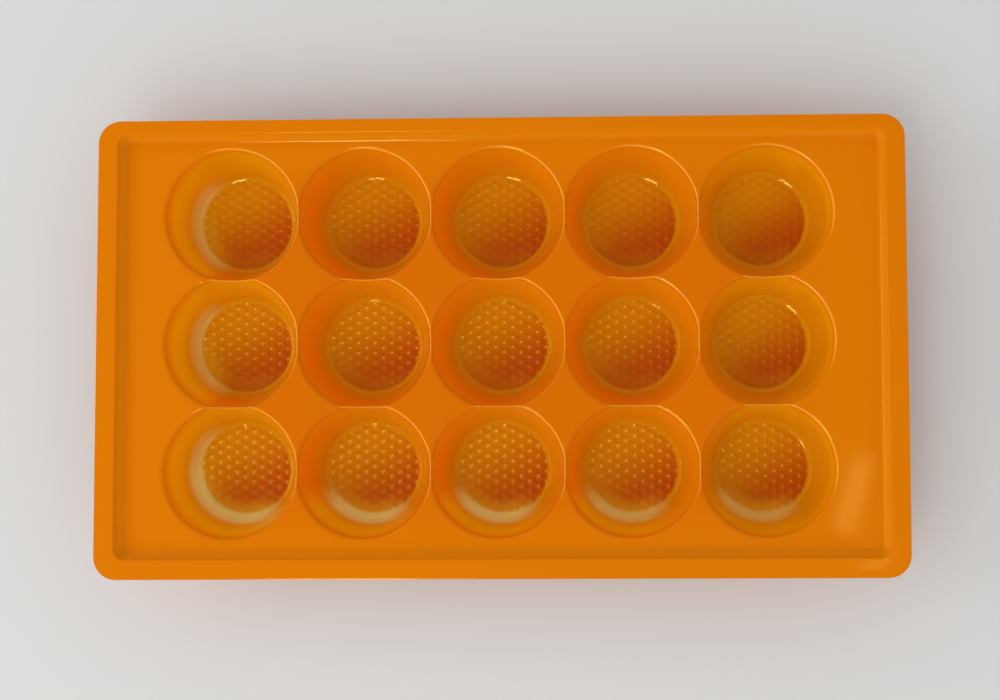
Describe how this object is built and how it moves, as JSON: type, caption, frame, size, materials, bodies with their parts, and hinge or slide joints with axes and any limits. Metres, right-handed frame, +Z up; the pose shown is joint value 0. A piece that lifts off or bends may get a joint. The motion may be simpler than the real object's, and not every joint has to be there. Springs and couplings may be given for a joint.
{
  "type": "sweets tray",
  "caption": "Shallow formed plastic tray with a flat flange and rows of round cups with dimpled floors, each cup for one round sweet.",
  "frame": {"origin": "under the middle of the flange, at the level of the undersides of the cup floors", "axes": "+X along the long side, +Y across it towards the side with the narrow flange edge, +Z up out of the cups"},
  "size_m": [0.25, 0.142, 0.0239],
  "materials": {
    "orange_plastic": "glossy, slightly translucent orange sheet"
  },
  "bodies": {
    "root": {"tray": "orange_plastic"}
  },
  "joints": []
}
